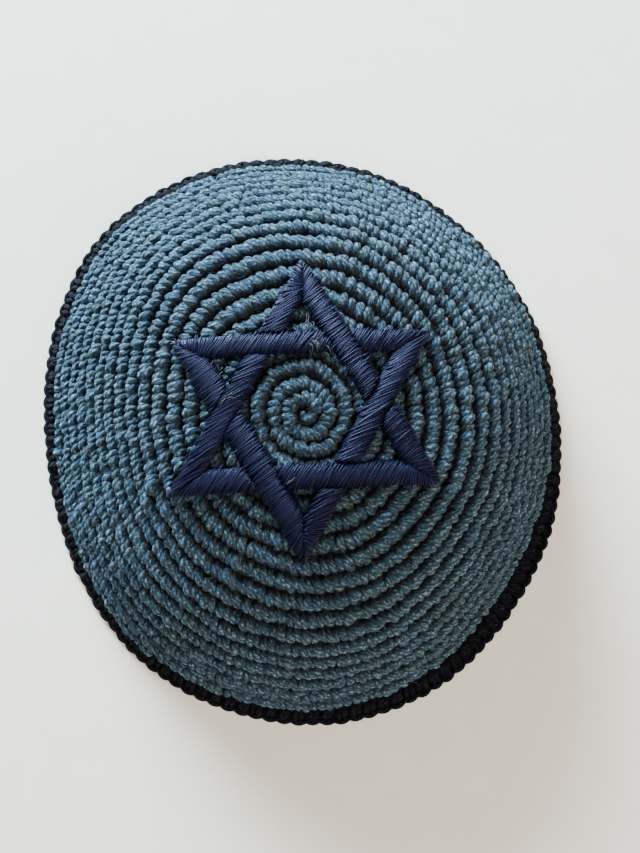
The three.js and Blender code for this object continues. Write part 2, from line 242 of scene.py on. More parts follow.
def ply_group() -> bpy.types.NodeTree:
    """Make the shared group that turns a strand's own coordinates into its twisted plies.

    Returns:
        A group with inputs Ring, Run, Plies, Turns and Stir (how unevenly the plies lie), and
        outputs Ply (0 in a groove, 1 on a ply) and Strand (a coordinate that stays with the
        fibres of one ply).
    """
    existing = bpy.data.node_groups.get("ply_pattern")
    if existing:
        return existing
    tree = bpy.data.node_groups.new("ply_pattern", "ShaderNodeTree")
    tree.interface.new_socket("Ring", in_out="INPUT", socket_type="NodeSocketVector")
    for name in ("Run", "Plies", "Turns", "Stir"):
        tree.interface.new_socket(name, in_out="INPUT", socket_type="NodeSocketFloat")
    tree.interface.new_socket("Ply", in_out="OUTPUT", socket_type="NodeSocketFloat")
    tree.interface.new_socket("Strand", in_out="OUTPUT", socket_type="NodeSocketVector")
    sheet = NodeSheet(tree, "ShaderNode")
    entry = tree.nodes.new("NodeGroupInput")
    ring = sheet.node("SeparateXYZ", {0: entry.outputs["Ring"]})
    angle = sheet.math("ARCTAN2", ring.outputs[1], ring.outputs[0])
    wound = sheet.math("MULTIPLY", entry.outputs["Run"], entry.outputs["Turns"])
    spot = sheet.node("TexCoord").outputs["Object"]
    unrest = sheet.node("TexNoise", {"Vector": spot, "Scale": 430.0, "Detail": 1.0}).outputs["Fac"]
    stirred = sheet.math("MULTIPLY_ADD", unrest, entry.outputs["Stir"], wound)
    phase = sheet.math("MULTIPLY_ADD", angle, entry.outputs["Plies"], stirred)
    wave = sheet.math("MULTIPLY_ADD", sheet.math("SINE", phase), 0.5, 0.5)
    slide = sheet.math("MULTIPLY", entry.outputs["Run"], 0.35)
    place = sheet.node("CombineXYZ", {0: sheet.math("SINE", phase), 1: sheet.math("COSINE", phase), 2: slide})
    leave = tree.nodes.new("NodeGroupOutput")
    tree.links.new(sheet.math("POWER", wave, 0.6), leave.inputs["Ply"])
    tree.links.new(place.outputs[0], leave.inputs["Strand"])
    return tree


@dataclass(frozen=True)
class YarnFinish:
    """Matte heather yarn of a few twisted plies."""

    name: str
    mid: Colour
    cool: Colour
    warm: Colour
    # Colour of the painted shade in the ply grooves and deep in the grooves between stitches; it also colours
    # the dark heather flecks.
    shade_and_dark_heather: Colour
    fleck: Colour
    plies: float = 5.0
    turns: float = 3.0
    stir: float = 4.5
    roughness: float = 0.9
    sheen: float = 0.35
    shine: float = 0.28
    relief: float = 1.0
    relief_depth: float = 0.0005
    heather_scale: float = 1150.0
    cloud_scale: float = 70.0
    lump_scale: float = 1300.0
    fine_scale: float = 5200.0

    def build(self) -> bpy.types.Material:
        """Build the yarn's material.

        Returns:
            A material that reads the strand attributes ring, run, tone and sunk.
        """
        sheet = MaterialSheet(self.name)
        ply = sheet.plies(self.plies, self.turns, self.stir)
        fibres = sheet.noise(2.2, 3.0, ply.outputs["Strand"])
        heather = sheet.noise(self.heather_scale, 2.0)
        cloud = sheet.noise(self.cloud_scale, 1.0)
        dark = sheet.math("MULTIPLY", sheet.band(heather, 0.48, 0.33), 0.85)
        colour = sheet.mix(sheet.band(sheet.attribute("tone"), 0.1, 0.9), self.cool, self.warm)
        colour = sheet.mix(sheet.band(cloud, 0.3, 0.7), colour, self.mid)
        colour = sheet.mix(sheet.band(heather, 0.5, 0.72), colour, self.fleck)
        colour = sheet.mix(dark, colour, self.shade_and_dark_heather)
        # Painted shade: the grooves between the twisted plies are darkened.
        colour = sheet.mix(sheet.band(ply.outputs["Ply"], 0.1, 0.9), self.shade_and_dark_heather, colour)
        # Painted highlights: fine lighter specks along the fibres of each ply.
        colour = sheet.mix(sheet.band(fibres, 0.35, 0.75), colour, self.mid, "SCREEN")
        # Painted shade: points that lie deep in a groove between stitches are darkened by the sunk attribute.
        colour = sheet.mix(sheet.attribute("sunk"), colour, self.shade_and_dark_heather)
        fine, lumps = sheet.noise(self.fine_scale, 2.0), sheet.noise(self.lump_scale, 3.0)
        height = sheet.math("MULTIPLY", ply.outputs["Ply"], 0.7)
        for layer, share in ((fibres, 0.5), (fine, 0.4), (lumps, 1.3)):
            height = sheet.math("ADD", height, sheet.math("MULTIPLY", layer, share))
        surface = {
            "Base Color": colour,
            "Roughness": self.roughness,
            "Sheen Weight": self.sheen,
            "Sheen Roughness": 0.55,
            "Specular IOR Level": self.shine,
        }
        relief = {"Height": height, "Strength": self.relief, "Distance": self.relief_depth}
        return sheet.close(surface, relief)


@dataclass(frozen=True)
class SatinFinish:
    """Smooth embroidery thread that catches the light along each thread."""

    name: str
    deep: Colour
    bright: Colour
    gloss: Colour = (1.0, 1.0, 1.0, 1.0)
    roughness: float = 0.47
    sheen: float = 0.25
    shine: float = 0.34
    plies: float = 2.0
    turns: float = 7.0
    relief: float = 0.35
    relief_depth: float = 0.00008

    def build(self) -> bpy.types.Material:
        """Build the thread's material.

        Returns:
            A material that reads the strand attributes ring, run, tone and sunk.
        """
        sheet = MaterialSheet(self.name)
        ply = sheet.plies(self.plies, self.turns)
        colour = sheet.mix(sheet.band(sheet.attribute("tone"), 0.0, 1.0), self.deep, self.bright)
        colour = sheet.mix(sheet.band(sheet.noise(420.0, 2.0), 0.35, 0.75), colour, self.bright)
        # Painted shade: the ends of the threads and the filling under them are darkened by the sunk
        # attribute.
        colour = sheet.mix(sheet.attribute("sunk"), colour, self.deep)
        surface = {
            "Base Color": colour,
            "Roughness": self.roughness,
            "Sheen Weight": self.sheen,
            "Sheen Roughness": 0.4,
            "Sheen Tint": self.gloss,
            "Specular IOR Level": self.shine,
            "Specular Tint": self.gloss,
        }
        relief = {"Height": ply.outputs["Ply"], "Strength": self.relief, "Distance": self.relief_depth}
        return sheet.close(surface, relief)


@dataclass(frozen=True)
class FloorFinish:
    """Plain pale surface that the cap stands on."""

    name: str = "pale_floor"
    light: Colour = (0.95, 0.89, 0.78, 1.0)
    dark: Colour = (0.96 * 0.95, 0.96 * 0.89, 0.96 * 0.78, 1.0)

    def build(self) -> bpy.types.Material:
        """Build the floor's material with a faint, even grain.

        Returns:
            A matte material.
        """
        sheet = MaterialSheet(self.name)
        grain = sheet.band(sheet.noise(90.0, 4.0), 0.2, 0.8)
        return sheet.close({"Base Color": sheet.mix(grain, self.light, self.dark), "Roughness": 0.9})


CAP_YARN = YarnFinish(
    name="heather_yarn",
    mid=(0.037, 0.079, 0.119, 1.0),
    cool=(0.028, 0.067, 0.137, 1.0),
    warm=(0.049, 0.087, 0.088, 1.0),
    shade_and_dark_heather=(0.0025, 0.005, 0.009, 1.0),
    fleck=(0.19, 0.3, 0.4, 1.0),
    sheen=0.05,
    shine=0.1,
)
EDGE_YARN = YarnFinish(
    name="dark_edge_yarn",
    mid=(0.0055, 0.006, 0.011, 1.0),
    cool=(0.0045, 0.0058, 0.0125, 1.0),
    warm=(0.0075, 0.0065, 0.01, 1.0),
    shade_and_dark_heather=(0.0012, 0.0012, 0.0022, 1.0),
    fleck=(0.02, 0.02, 0.029, 1.0),
    sheen=0.0,
    shine=0.1,
)
PALE_FIBRE = YarnFinish(
    name="pale_loose_fibre",
    mid=(0.085, 0.12, 0.135, 1.0),
    cool=(0.07, 0.11, 0.14, 1.0),
    warm=(0.11, 0.13, 0.12, 1.0),
    shade_and_dark_heather=(0.02, 0.03, 0.035, 1.0),
    fleck=(0.2, 0.24, 0.25, 1.0),
)
STAR_THREAD = SatinFinish(
    name="indigo_satin_thread",
    deep=(0.0018, 0.0022, 0.0078, 1.0),
    bright=(0.0052, 0.0062, 0.0215, 1.0),
    gloss=(0.27, 0.29, 0.6, 1.0),
    sheen=0.05,
)


# Strands


@dataclass
class StrandBundle:
    """Centre lines of many strands with their attributes, all with the same number of points."""

    paths: list[Array] = field(default_factory=list)
    widths: list[Array] = field(default_factory=list)
    tones: list[Array] = field(default_factory=list)
    depths: list[Array] = field(default_factory=list)

    def add(self, paths: Array, widths: Array, tones: Array, depths: Array) -> None:
        """Add strands.

        Args:
            paths: Points in millimetres, strands by points by three.
            widths: Radius at each point in millimetres, strands by points.
            tones: Random tone of each strand, 0 to 1.
            depths: How far each point lies in the shade of its groove, strands by points.
        """
        self.paths.append(paths)
        self.widths.append(np.broadcast_to(widths, paths.shape[:2]))
        self.tones.append(np.repeat(tones[:, None], paths.shape[1], axis=1))
        self.depths.append(np.broadcast_to(depths, paths.shape[:2]))

    def build(self, name: str, sides: int, material: bpy.types.Material) -> bpy.types.Object:
        """Sweep every strand to a round yarn and join them in one mesh.

        Args:
            name: Name of the piece.
            sides: Sides of a strand's section.
            material: Finish of the strands.

        Returns:
            The piece as a plain mesh.
        """
        points: list[Array] = []
        edges: list[Array] = []
        start = 0
        for paths, widths in zip(self.paths, self.widths):
            lifted = paths.copy()
            lifted[..., 2] = np.maximum(lifted[..., 2], widths)
            count, length = paths.shape[:2]
            first = start + np.arange(count)[:, None] * length + np.arange(length - 1)[None, :]
            edges.append(np.stack([first, first + 1], axis=-1).reshape(-1, 2))
            points.append(lifted.reshape(-1, 3))
            start += count * length
        mesh = bpy.data.meshes.new(name + "_lines")
        mesh.from_pydata((np.concatenate(points) * MM).tolist(), np.concatenate(edges).tolist(), [])
        for label, values in (("thickness", self.widths), ("tone", self.tones), ("sunk", self.depths)):
            mark(mesh, label, np.concatenate([value.reshape(-1) for value in values]))
        values = {"Sides": sides, "Stoutness": MM, "Finish": material}
        return apply_tree(put(name, mesh), strand_tree(), values)


def strand_tree() -> bpy.types.NodeTree:
    """Make the geometry tree that sweeps lines to round strands.

    Returns:
        A tree with the inputs Sides, Stoutness and Finish.
    """
    existing = bpy.data.node_groups.get("strand_sweep")
    if existing:
        return existing
    tree = bpy.data.node_groups.new("strand_sweep", "GeometryNodeTree")
    for name, kind in (
        ("Geometry", "NodeSocketGeometry"),
        ("Sides", "NodeSocketInt"),
        ("Stoutness", "NodeSocketFloat"),
        ("Finish", "NodeSocketMaterial"),
    ):
        tree.interface.new_socket(name, in_out="INPUT", socket_type=kind)
    tree.interface.new_socket("Geometry", in_out="OUTPUT", socket_type="NodeSocketGeometry")
    sheet = NodeSheet(tree, "GeometryNode")
    entry = tree.nodes.new("NodeGroupInput")
    lines = sheet.node("MeshToCurve", {"Mesh": entry.outputs["Geometry"]})
    stored = sheet.node("InputNamedAttribute", {"Name": "thickness"}, data_type="FLOAT")
    radius = sheet.math("MULTIPLY", stored.outputs["Attribute"], entry.outputs["Stoutness"])
    run = sheet.math("DIVIDE", sheet.node("SplineParameter").outputs["Length"], MM)
    marked = sheet.node(
        "StoreNamedAttribute", {"Geometry": lines.outputs[0], "Name": "run", "Value": run}, data_type="FLOAT"
    )
    circle = sheet.node("CurvePrimitiveCircle", {"Resolution": entry.outputs["Sides"], "Radius": 1.0})
    place = sheet.node("InputPosition")
    section = sheet.node(
        "StoreNamedAttribute",
        {"Geometry": circle.outputs[0], "Name": "ring", "Value": place.outputs[0]},
        data_type="FLOAT_VECTOR",
    )
    swept = sheet.node(
        "CurveToMesh",
        {"Curve": marked.outputs[0], "Profile Curve": section.outputs[0], "Scale": radius, "Fill Caps": True},
    )
    smooth = sheet.node("SetShadeSmooth", {"Geometry": swept.outputs[0]})
    real = sheet.node("RealizeInstances", {"Geometry": smooth.outputs[0]})
    dressed = sheet.node("SetMaterial", {"Geometry": real.outputs[0], "Material": entry.outputs["Finish"]})
    leave = tree.nodes.new("NodeGroupOutput")
    tree.links.new(dressed.outputs[0], leave.inputs["Geometry"])
    return tree


def apply_tree(
    piece: bpy.types.Object, tree: bpy.types.NodeTree, values: dict[str, object]
) -> bpy.types.Object:
    """Run a geometry tree on a piece and keep the result as its plain mesh.

    Args:
        piece: Object that carries the tree's input.
        tree: Geometry tree.
        values: Value of each named input.

    Returns:
        The same object with its new mesh and no modifier.
    """
    modifier = piece.modifiers.new("strands", "NODES")
    modifier.node_group = tree
    for item in tree.interface.items_tree:
        if item.item_type == "SOCKET" and item.in_out == "INPUT" and item.name in values:
            modifier[item.identifier] = values[item.name]
    graph = bpy.context.evaluated_depsgraph_get()
    result = bpy.data.meshes.new_from_object(piece.evaluated_get(graph))
    lines = piece.data
    piece.modifiers.remove(modifier)
    piece.data = result
    result.name = piece.name
    bpy.data.meshes.remove(lines)
    return piece


# Surfaces measured on the frame


class SurfaceGrid:
    """Smooth surface as a grid of turns by steps down, with places and outward normals."""

    def __init__(self, points: Array) -> None:
        """Work out the normals of a grid.

        Args:
            points: Turns by steps by three, in millimetres.
        """
        self.points = points
        around = np.roll(points, -1, axis=0) - np.roll(points, 1, axis=0)
        down = np.gradient(points, axis=1)
        normals = np.cross(down, around)
        normals[:, 0] = normals[:, 1].mean(axis=0)
        self.normals = normals / np.linalg.norm(normals, axis=-1, keepdims=True)
        self.girth = np.linalg.norm(np.roll(points, -1, axis=0) - points, axis=-1).sum(axis=0)

    def at(self, share: Numbers, turn: Numbers, over: Numbers) -> Array:
        """Place points on the surface.

        Args:
            share: Share of the way down, 0 to 1.
            turn: Turn in full turns, any size.
            over: Height over the surface in millimetres.

        Returns:
            Points in millimetres, with the shape of the inputs and a last axis of three.
        """
        turns, steps = self.points.shape[:2]
        share, turn, over = np.broadcast_arrays(share, turn, over)
        row = np.clip(share, 0.0, 1.0) * (steps - 1)
        low = np.minimum(row.astype(int), steps - 2)
        part = (row - low)[..., None]
        column = (turn % 1.0) * turns
        left = np.floor(column).astype(int)
        side = (column - left)[..., None]
        left, right = left % turns, (left + 1) % turns
        place = np.zeros(share.shape + (3,))
        normal = np.zeros(share.shape + (3,))
        for grid, total in ((self.points, place), (self.normals, normal)):
            near = grid[left, low] * (1 - part) + grid[left, low + 1] * part
            far = grid[right, low] * (1 - part) + grid[right, low + 1] * part
            total += near * (1 - side) + far * side
        beyond = (np.maximum(share - 1.0, 0.0) * (steps - 1))[..., None]
        drop = self.points[left, -1] - self.points[left, -2]
        return place + normal * over[..., None] + drop * beyond


class FrameMeasure:
    """Rays against one solid of the frame."""

    def __init__(self, node: bpy.types.Object) -> None:
        """Read the solid's faces.

        Args:
            node: Object of the frame.
        """
        mesh = node.data
        self.corners = np.array([vertex.co for vertex in mesh.vertices]) / MM
        mesh.calc_loop_triangles()
        self.faces = [tuple(triangle.vertices) for triangle in mesh.loop_triangles]
        self.tree = BVHTree.FromPolygons([Vector(c) for c in self.corners], self.faces)

    def hit(self, start: Array, way: Array) -> Array | None:
        """Return the first place that a ray meets, in millimetres, or None."""
        place = self.tree.ray_cast(Vector(start), Vector(way))[0]
        return None if place is None else np.array(place)

    def top(self, spot: Array) -> Array | None:
        """Return the highest place over a spot in plan, or None."""
        return self.hit(np.array([spot[0], spot[1], FAR]), np.array([0.0, 0.0, -1.0]))

    def busiest_point(self) -> Array:
        """Find the pole, where the faces of all turns meet.

        Returns:
            The upper one of the two places where the most faces meet.
        """
        keys: dict[tuple[float, ...], int] = {}
        rounded = np.round(self.corners, 3)
        for face in self.faces:
            for corner in face:
                key = tuple(rounded[corner])
                keys[key] = keys.get(key, 0) + 1
        most = max(keys.values())
        busy = [key for key, count in keys.items() if count > 0.8 * most]
        return np.array(max(busy, key=lambda key: key[2]))


@dataclass
class CrownForm:
    """Smooth crest level of the crown and the spiral of rounds on it.

    Growth is the height of a round by the share of all rounds done, relief is the height of the
    solid's ridges, smoothing and sample are lengths along a profile, and slope_span is the
    number of samples that give the slope past its ends.
    """

    node: bpy.types.Object
    rounds: float = 19.0
    relief: float = 1.2
    directions: int = 180
    steps: int = 160
    smoothing: float = 2.3
    rays: int = 361
    least_reach: float = 20.0
    sample: float = 0.4
    slope_span: int = 25
    growth: tuple[tuple[float, float], ...] = (
        (0.0, 0.82), (0.12, 0.92), (0.3, 1.0), (0.42, 1.06), (0.6, 1.03), (0.8, 1.02), (1.0, 1.0),
    )

    def measure(self) -> "CrownForm":
        """Measure the crown from outside and smooth its ridges away.

        Returns:
            The form, with its pole, its grid and the share of the way down after each round.
        """
        solid = FrameMeasure(self.node)
        self.pole = solid.busiest_point()
        low = np.array([self.pole[0], self.pole[1], solid.corners[:, 2].min() - 1.0])
        turns = np.arange(self.directions) * FULL_TURN / self.directions
        flats = [np.array([math.cos(turn), math.sin(turn), 0.0]) for turn in turns]
        profiles = [self._profile(solid, low, flat) for flat in flats]
        half = self.directions // 2
        grid = []
        for index, flat in enumerate(flats):
            line = self._smooth(profiles[index], profiles[(index + half) % self.directions])
            grid.append(np.column_stack([low[:2] + line[:, :1] * flat[:2], line[:, 1]]))
        points = np.array(grid)
        points[:, 0] = points[:, 0].mean(axis=0)
        self.grid = SurfaceGrid(points)
        knots = np.array(self.growth)
        fine = np.linspace(0.0, 1.0, 400)
        height = np.interp(fine, knots[:, 0], knots[:, 1])
        total = np.concatenate([[0.0], np.cumsum((height[1:] + height[:-1]) / 2)])
        self.done, self.share = fine * self.rounds, total / total[-1]
        return self

    def _profile(self, solid: FrameMeasure, low: Array, flat: Array) -> Array:
        """Measure one profile of the crown with rays from outside.

        Args:
            solid: Rays against the crown.
            low: Place under the pole, just below the brim.
            flat: Level way of the profile.

        Returns:
            Reach and height from the pole down to the brim.
        """
        profile = []
        for rise in np.radians(np.linspace(90.0, 0.0, self.rays)):
            way = flat * math.cos(rise) + np.array([0.0, 0.0, math.sin(rise)])
            place = solid.hit(low + way * FAR, -way)
            if place is None or np.dot(place - low, way) < self.least_reach:
                break
            profile.append((np.dot(place - low, flat), place[2]))
        return np.array(profile)

    def _smooth(self, profile: Array, opposite: Array) -> Array:
        """Smooth one profile across the pole and past the brim, and move it out to the crests.

        Args:
            profile: Reach and height down this side, from the pole.
            opposite: The same down the other side.

        Returns:
            Reach and height at even steps from the pole to the brim.
        """
        whole = np.concatenate([(opposite * np.array([-1.0, 1.0]))[::-1], profile[1:]])
        run = lengths(whole)
        line = resample(whole, np.arange(0.0, run[-1], self.sample))
        pad, span = int(4 * self.smoothing / self.sample), self.slope_span
        head = line[0] + (line[0] - line[span]) / span * np.arange(pad, 0, -1)[:, None]
        tail = line[-1] + (line[-1] - line[-span - 1]) / span * np.arange(1, pad + 1)[:, None]
        padded = np.concatenate([head, line, tail])
        window = np.exp(-0.5 * (np.arange(-pad, pad + 1) * self.sample / self.smoothing) ** 2)
        window /= window.sum()
        soft = np.column_stack([np.convolve(padded[:, axis], window, mode="valid") for axis in (0, 1)])
        way = np.gradient(soft, axis=0)
        way /= np.linalg.norm(way, axis=1, keepdims=True)
        soft = soft + np.column_stack([-way[:, 1], way[:, 0]]) * self.relief / 2
        side = soft[int(round(run[len(opposite) - 1] / self.sample)) :]
        return resample(side, np.linspace(0.0, lengths(side)[-1], self.steps))

    def at(self, done: Numbers, turn: Numbers, over: Numbers) -> Array:
        """Place points on the crown.

        Args:
            done: Rounds done from the pole.
            turn: Turn in full turns.
            over: Height over the crests in millimetres.

        Returns:
            Points in millimetres.
        """
        share = np.interp(done, self.done, self.share)
        beyond = np.maximum(np.asarray(done) - self.rounds, 0.0) / self.rounds
        return self.grid.at(share + beyond, turn, over)

    def girth(self, done: float) -> float:
        """Return the length of the way round the crown after so many rounds."""
        share = np.interp(done, self.done, self.share)
        return float(np.interp(share * (self.steps - 1), np.arange(self.steps), self.grid.girth))


@dataclass
class EdgeForm:
    """Outer face of the edge round, from under the crown down to the floor."""

    node: bpy.types.Object
    pole: Array
    directions: int = 180
    steps: int = 24
    width: float = 5.5
    low_height: float = 0.8
    ray_reach: float = 40.0
    flat_top: float = 0.03

    def measure(self) -> "EdgeForm":
        """Measure the edge round's face in each direction.

        Returns:
            The form, with its grid from the top of the edge down to the floor.
        """
        solid = FrameMeasure(self.node)
        rises = np.radians(np.linspace(4.0, 110.0, 160))
        base = np.array([self.pole[0], self.pole[1], 0.0])
        up = np.array([0.0, 0.0, 1.0])
        grid = []
        for turn in np.arange(self.directions) * FULL_TURN / self.directions:
            flat = np.array([math.cos(turn), math.sin(turn), 0.0])
            outermost = np.dot(solid.hit(base + flat * FAR + up * self.low_height, -flat) - base, flat)
            root = base + flat * (outermost - self.width)
            ways = [flat * math.cos(rise) + up * math.sin(rise) for rise in rises]
            places = [solid.hit(root + way * self.ray_reach, -way) for way in ways]
            met = [place for place in places if place is not None]
            profile = np.array([(np.dot(place - base, flat), place[2]) for place in met])
            top = int(np.argmax(profile[:, 1] > profile[:, 1].max() - self.flat_top))
            line = profile[: top + 1][::-1]
            line = resample(line, np.linspace(0.0, lengths(line)[-1], self.steps))
            grid.append(np.column_stack([self.pole[:2] + line[:, :1] * flat[:2], line[:, 1]]))
        self.grid = SurfaceGrid(np.array(grid))
        return self


# The crown


@dataclass(frozen=True)
class StitchSection:
    """Course of one leg of a stitch, from under the round above to its outer end.

    Down is a share of a round, depth is in millimetres under the crests, shade is how far the
    leg lies in its groove, apart and lean are shares of a stitch's width, and stout is a share
    of the yarn's radius. The values that start with outer change the rounds near the brim,
    and lift scales the random heights of the others.
    """

    down: tuple[float, ...] = (0.1, 0.15, 0.25, 0.38, 0.53, 0.68, 0.8, 0.88)
    depth: tuple[float, ...] = (2.9, 2.2, 1.5, 1.12, 1.02, 1.25, 2.0, 2.9)
    shade: tuple[float, ...] = (1.0, 1.0, 0.62, 0.08, 0.0, 0.1, 0.75, 1.0)
    apart: tuple[float, ...] = (0.15, 0.16, 0.19, 0.22, 0.25, 0.27, 0.28, 0.28)
    stout: tuple[float, ...] = (0.84, 0.98, 1.07, 1.12, 1.14, 1.12, 1.04, 0.84)
    lean: float = 0.36
    outer_lean: float = 0.3
    outer_squeeze: float = 0.13
    outer_stoutness: float = 0.05
    upright_rounds: float = 1.6
    lift: float = 1.4
    outer_sink: float = 0.8
    centre_shade: float = 0.4
    centre_rounds: float = 10.0


@dataclass(frozen=True)
class InnerBar:
    """Level bar of a stitch on the inner face, which sags in the middle and bows inward.

    Half is a share of a stitch's width, the rows are shares of a round, the turns are radians
    a stitch's width, and the others are in millimetres.
    """

    half: float = 0.62
    points: int = 6
    radius: float = 0.85
    radius_turn: float = 1.1
    row: float = 0.35
    row_sag: float = 0.28
    row_turn: float = 2.4
    row_spread: float = 0.03
    bow: float = 0.6
    bow_turn: float = 2.2
    bow_spread: float = 0.08


@dataclass(frozen=True)
class StitchSpread:
    """Unevenness of the outer stitches, each the spread of one random draw.

    Lean, slip and slide are shares of a stitch's width, row is a share of a round, stout and
    swell are shares of the yarn's radius, and the others are in millimetres.
    """

    lean: float = 0.13
    lift: float = 0.192
    slip: float = 0.1
    wander: float = 0.24
    slide: float = 0.05
    row: float = 0.032
    depth: float = 0.1
    waver: float = 0.07
    stout: float = 0.12
    swell: float = 0.08


@dataclass
class CrochetedCrown:
    """The dome worked in one spiral, its fabric and both of its faces.

    Outer, brim, open_end and tuck_start are counted in rounds, and brim_reach says how far the
    last rounds move down or up by the turn. Sways are waves of the rounds, each with its size
    in rounds, its waves a turn and its phase. Parts names the pieces by the rounds they hold.
    """

    form: CrownForm
    stitch_width: float = 4.35
    first_stitches: int = 6
    first_gap: float = 0.3
    leg_radius: float = 1.06
    wall: float = 3.5
    back: float = 0.75
    outer_start: float = 7.0
    outer_span: float = 5.0
    brim_rounds: float = 3.0
    open_end: float = 0.35
    sways: tuple[tuple[float, float, float], ...] = ((0.05, 5.04, 0.0), (0.03, 13.07, 1.0))
    fabric_turns: int = 144
    fabric_rows: int = 152
    ridge_foot: float = 2.5
    ridge_rise: float = 1.75
    tuck: float = 2.1
    tuck_start: float = 0.8
    tuck_span: float = 0.6
    parts: tuple[tuple[str, float, float], ...] = (
        ("upper_stitches", -1.0, 9.0), ("middle_stitches", 9.0, 14.5), ("lower_stitches", 14.5, 99.0),
    )
    brim_reach: tuple[tuple[float, float], ...] = (
        (0.0, -0.12), (0.15, -0.28), (0.25, -0.32), (0.38, -0.2), (0.5, 0.0), (0.6, 0.25), (0.67, 0.42),
        (0.72, 0.4), (0.78, 0.28), (0.88, 0.28), (1.0, -0.12),
    )
    section: StitchSection = field(default_factory=StitchSection)
    bar: InnerBar = field(default_factory=InnerBar)
    spread: StitchSpread = field(default_factory=StitchSpread)
    seed: int = 11

    def spiral(self) -> tuple[Array, Array]:
        """List the stitches along the spiral.

        Returns:
            Rounds done at the middle of each stitch, and the stitch's width as a share of a turn.
        """
        done, place = [], 0.0
        while place < self.form.rounds - self.open_end:
            girth = self.form.girth(min(place + 0.6, self.form.rounds))
            width = min(self.stitch_width / girth, 1.0 / self.first_stitches)
            done.append((place + width / 2, width))
            place += width
        table = np.array(done)
        return table[:, 0], table[:, 1]

    def stitches(self, side: Side) -> tuple[Array, ...]:
        """Lay out the strands of one face.

        Args:
            side: Face of the wall.

        Returns:
            Paths, radii, tones, depths and rounds done of the strands.
        """
        done, width = self.spiral()
        tall = np.minimum(1.0, self.form.rounds - done)
        if side is Side.INSIDE:
            return self._inner_bars(done, width, tall)
        return self._outer_legs(done, width, tall)

    def _inner_bars(self, done: Array, width: Array, tall: Array) -> tuple[Array, ...]:
        """Lay one level bar a stitch on the inner face.

        Args:
            done: Rounds done at each stitch.
            width: Width of each stitch as a share of a turn.
            tall: Height of each stitch in rounds.

        Returns:
            The same as stitches.
        """
        random = np.random.default_rng(self.seed + 1)
        bar, count = self.bar, len(done)
        across = np.linspace(-bar.half, bar.half, bar.points)[None, :]
        turn = done[:, None] + across * width[:, None]
        sag = bar.row_sag * np.cos(across * bar.row_turn) + random.normal(0, bar.row_spread, (count, 1))
        rows = done[:, None] + tall[:, None] * (bar.row + sag)
        over = -self.wall + self.back + bar.bow * (1 - np.cos(across * bar.bow_turn))
        over = over + random.normal(0, bar.bow_spread, (count, 1))
        paths = self.form.at(rows, turn, over)
        radii = np.broadcast_to(bar.radius * np.cos(across * bar.radius_turn), paths.shape[:2])
        return paths, radii, random.random(count), np.zeros(paths.shape[:2]), done

    def _outer_legs(self, done: Array, width: Array, tall: Array) -> tuple[Array, ...]:
        """Lay the two legs of each stitch on the outer face.

        The outer rounds are squeezed together and lean more. The last three rounds reach
        further down or less far, by brim_reach.

        Args:
            done: Rounds done at each stitch.
            width: Width of each stitch as a share of a turn.
            tall: Height of each stitch in rounds.

        Returns:
            The same as stitches.
        """
        random = np.random.default_rng(self.seed)
        bits, spread, count = self.section, self.spread, len(done)
        depth, apart, stout = (np.array(row)[None, :] for row in (bits.depth, bits.apart, bits.stout))
        outer = np.clip((done - self.outer_start) / self.outer_span, 0.0, 1.0)
        down = 0.5 + (np.array(bits.down)[None, :] - 0.5) * (1.0 - bits.outer_squeeze * outer[:, None])
        lean = (bits.lean + bits.outer_lean * outer) * np.clip(done / bits.upright_rounds, 0.1, 1.0)
        lean = lean + random.normal(0, spread.lean, count)
        lift = random.normal(0, spread.lift, count) * (bits.lift - bits.outer_sink * outer)
        slip = random.normal(0, spread.slip, count)
        brim = np.array(self.brim_reach)
        near_brim = np.clip(done - self.form.rounds + self.brim_rounds, 0.0, 1.0)
        stretch = np.interp(done % 1.0, brim[:, 0], brim[:, 1]) * near_brim
        sway = sum(size * np.sin(done * FULL_TURN * waves + phase) for size, waves, phase in self.sways)
        # Darker towards the crown's centre. This is added to the legs' painted groove shade.
        centre = bits.centre_shade * np.clip(1.2 - done / bits.centre_rounds, 0.0, 1.0)
        shade = np.clip(np.array(bits.shade)[None, :] + centre[:, None], 0.0, 1.0)
        every = []
        for leg in (-1.0, 1.0):
            wander = random.normal(0, spread.wander / self.stitch_width, (count, 1)) * width[:, None]
            offset = leg * apart + lean[:, None] * (down - 0.5)
            turn = done[:, None] + offset * width[:, None] + wander * (down - 0.3)
            slide = slip[:, None] + random.normal(0, spread.slide, down.shape)
            turn = turn + slide * width[:, None]
            rows = done[:, None] + tall[:, None] * (down + random.normal(0, spread.row, (count, 1)))
            rows = rows + sway[:, None] + stretch[:, None] * (0.5 + 0.5 * down)
            rows = rows + self.first_gap * np.clip(1.0 - done, 0.0, 1.0)[:, None]
            over = -depth + lift[:, None] + random.normal(0, spread.depth, (count, 1))
            over = over + random.normal(0, spread.waver, down.shape)
            paths = self.form.at(rows, turn, over)
            radii = self.leg_radius * stout * random.normal(1.0, spread.stout, (count, 1))
            radii = radii * random.normal(1.0, spread.swell, down.shape)
            radii = radii * (1.0 + bits.outer_stoutness * outer[:, None])
            every.append((paths, radii, random.random(count), shade, done))
        return tuple(np.concatenate(parts) for parts in zip(*every))

